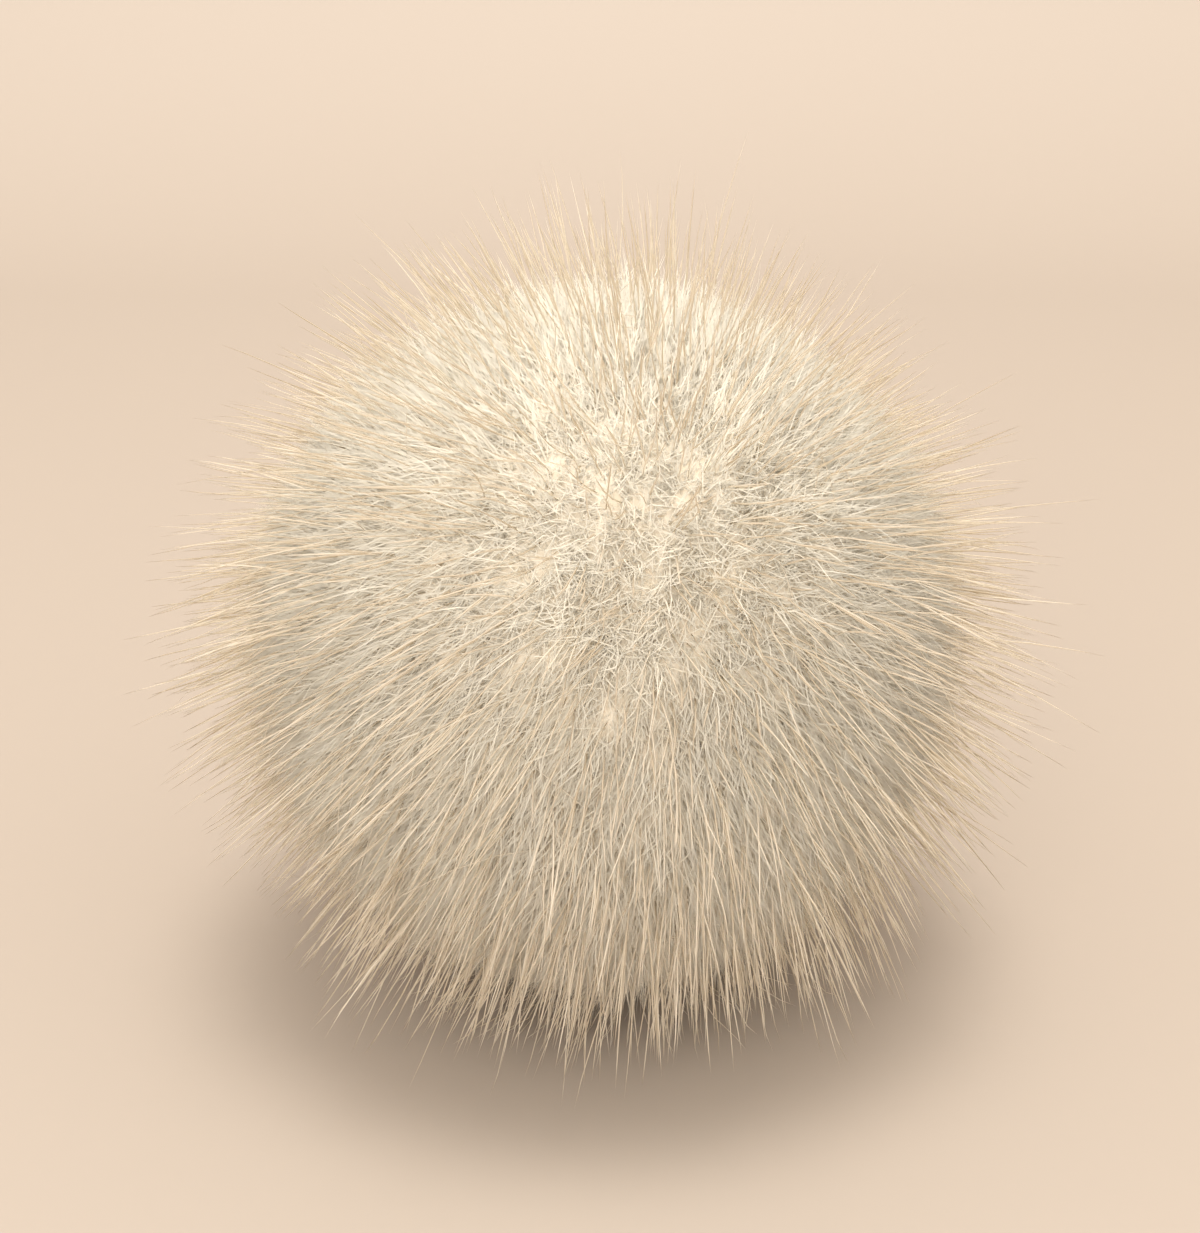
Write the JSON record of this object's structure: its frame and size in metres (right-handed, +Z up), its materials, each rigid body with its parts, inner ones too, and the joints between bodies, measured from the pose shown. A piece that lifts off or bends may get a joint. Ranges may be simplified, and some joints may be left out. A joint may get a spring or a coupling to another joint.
{
  "type": "fur pom pom",
  "caption": "Round cream fur pom pom with dense soft underfur and longer straight guard hairs, lying on a small flat spot.",
  "frame": {"origin": "middle of the small flat spot under the ball, on the surface that it lies on", "axes": "+Z up through the ball's middle; the side shown in the picture faces -Y; +X is to its right"},
  "size_m": [0.0741, 0.0744, 0.0721],
  "materials": {
    "fur": "dense cream fur with a soft sheen"
  },
  "bodies": {
    "root": {"fur_ball": "fur"}
  },
  "joints": []
}
